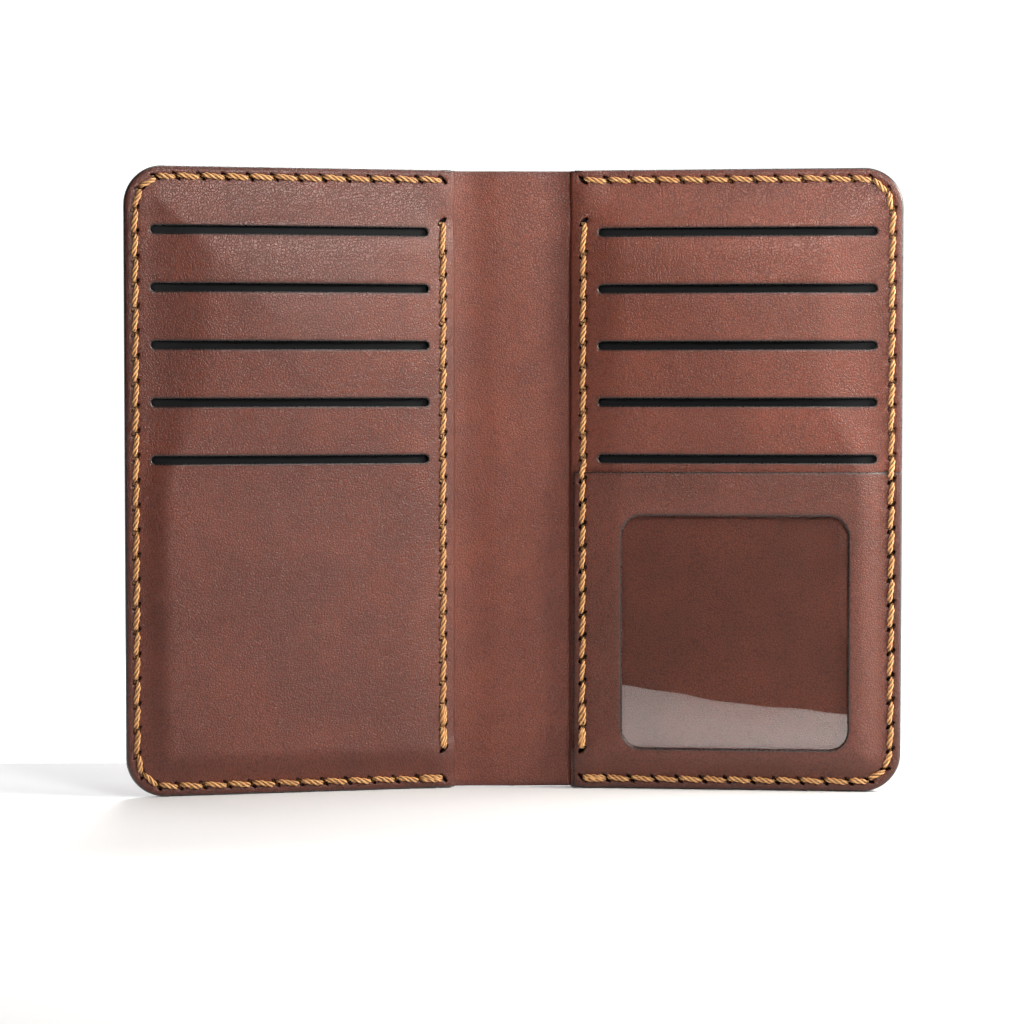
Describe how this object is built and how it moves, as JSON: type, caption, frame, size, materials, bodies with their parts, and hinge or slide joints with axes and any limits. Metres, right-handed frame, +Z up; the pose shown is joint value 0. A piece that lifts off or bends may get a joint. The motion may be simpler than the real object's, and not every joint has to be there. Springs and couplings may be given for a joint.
{
  "type": "long bifold card wallet",
  "caption": "Long bifold leather wallet standing open: spine between two folding sides, with die-cut card slots, cloth pouches, note pockets and a clear ID window.",
  "frame": {"origin": "middle of the spine's lower edge, in the middle of the cover leather's thickness, on the surface that the wallet stands on", "axes": "+Z up along the creases, +X across the open wallet towards the ID window's side, -Y towards the person reading it"},
  "size_m": [0.2456, 0.0288, 0.198],
  "materials": {
    "cover_leather": "satin, fine pebble grain, reddish brown, black painted edges",
    "panel_leather": "satin, fine pebble grain, mottled reddish brown, black painted edges",
    "pocket_leather": "satin, fine pebble grain, reddish brown, black painted edges",
    "pouch_cloth": "black woven lining cloth",
    "lining_cloth": "black woven lining cloth",
    "seam_thread": "thick waxed thread, golden brown, twisted from three plies",
    "window_film": "clear flexible film, glossy"
  },
  "bodies": {
    "spine": {"outer_cover_spine": "cover_leather"},
    "left_side": {"outer_cover_left": "cover_leather", "lining_left": "lining_cloth", "inner_panel_left": "panel_leather", "card_pouch_left_1": "pouch_cloth", "card_pouch_left_2": "pouch_cloth", "card_pouch_left_3": "pouch_cloth", "card_pouch_left_4": "pouch_cloth", "card_pouch_left_5": "pouch_cloth", "seam_thread_left_outer": "seam_thread", "seam_thread_left_inner": "seam_thread"},
    "right_side": {"outer_cover_right": "cover_leather", "lining_right": "lining_cloth", "inner_panel_right": "panel_leather", "card_pouch_right_1": "pouch_cloth", "card_pouch_right_2": "pouch_cloth", "card_pouch_right_3": "pouch_cloth", "card_pouch_right_4": "pouch_cloth", "card_pouch_right_5": "pouch_cloth", "id_pocket_frame": "pocket_leather", "id_window_film": "window_film", "seam_thread_right_outer": "seam_thread", "seam_thread_right_inner": "seam_thread"}
  },
  "joints": [
    {"name": "left_fold", "type": "hinge", "parent": "spine", "child": "left_side", "pos_m": [-0.017, 0, 0.099], "axis": [0, 0, 1], "range_deg": [-13, 80]},
    {"name": "right_fold", "type": "hinge", "parent": "spine", "child": "right_side", "pos_m": [0.017, 0, 0.099], "axis": [0, 0, -1], "range_deg": [-7.5, 85.5]}
  ]
}
